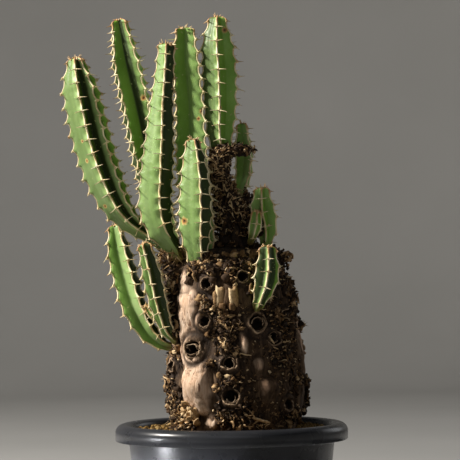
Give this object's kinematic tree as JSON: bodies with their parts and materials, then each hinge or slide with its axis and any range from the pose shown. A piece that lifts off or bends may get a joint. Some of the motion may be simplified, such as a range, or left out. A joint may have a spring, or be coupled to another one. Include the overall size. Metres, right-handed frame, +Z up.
{
  "type": "potted candelabra euphorbia",
  "caption": "Branching spiny euphorbia with a swollen woody base, ribbed green stems with pale horny margins and paired spines, growing in grit in a round plastic pot.",
  "frame": {"origin": "centre of the pot's flat underside, on the surface that it stands on", "axes": "+Z up through the pot's axis, -Y towards the side that the picture shows, +X to the right in the picture"},
  "size_m": [0.1854, 0.15, 0.3979],
  "materials": {
    "pot_plastic": "dark grey moulded plastic with a soft sheen",
    "soil": "yellow-brown grit, matte",
    "bark": "dry fissured bark with crust and hollow stumps, matte",
    "stem_green": "smooth waxy green skin, satin",
    "horn": "pale horny margin with brown-tipped spines, satin"
  },
  "bodies": {
    "root": {"pot": "pot_plastic", "soil": "soil", "caudex": "bark", "stem_far_left": "stem_green", "stem_tall_left": "stem_green", "stem_front_left": "stem_green", "stem_centre": "stem_green", "stem_tall_right": "stem_green", "stem_front_centre": "stem_green", "stem_back_right": "stem_green", "stem_right": "stem_green", "stem_low_right": "stem_green", "stem_low_left": "stem_green", "stem_low_inner": "stem_green", "margin_far_left": "horn", "margin_tall_left": "horn", "margin_front_left": "horn", "margin_centre": "horn", "margin_tall_right": "horn", "margin_front_centre": "horn", "margin_back_right": "horn", "margin_right": "horn", "margin_low_right": "horn", "margin_low_left": "horn", "margin_low_inner": "horn"}
  },
  "joints": []
}
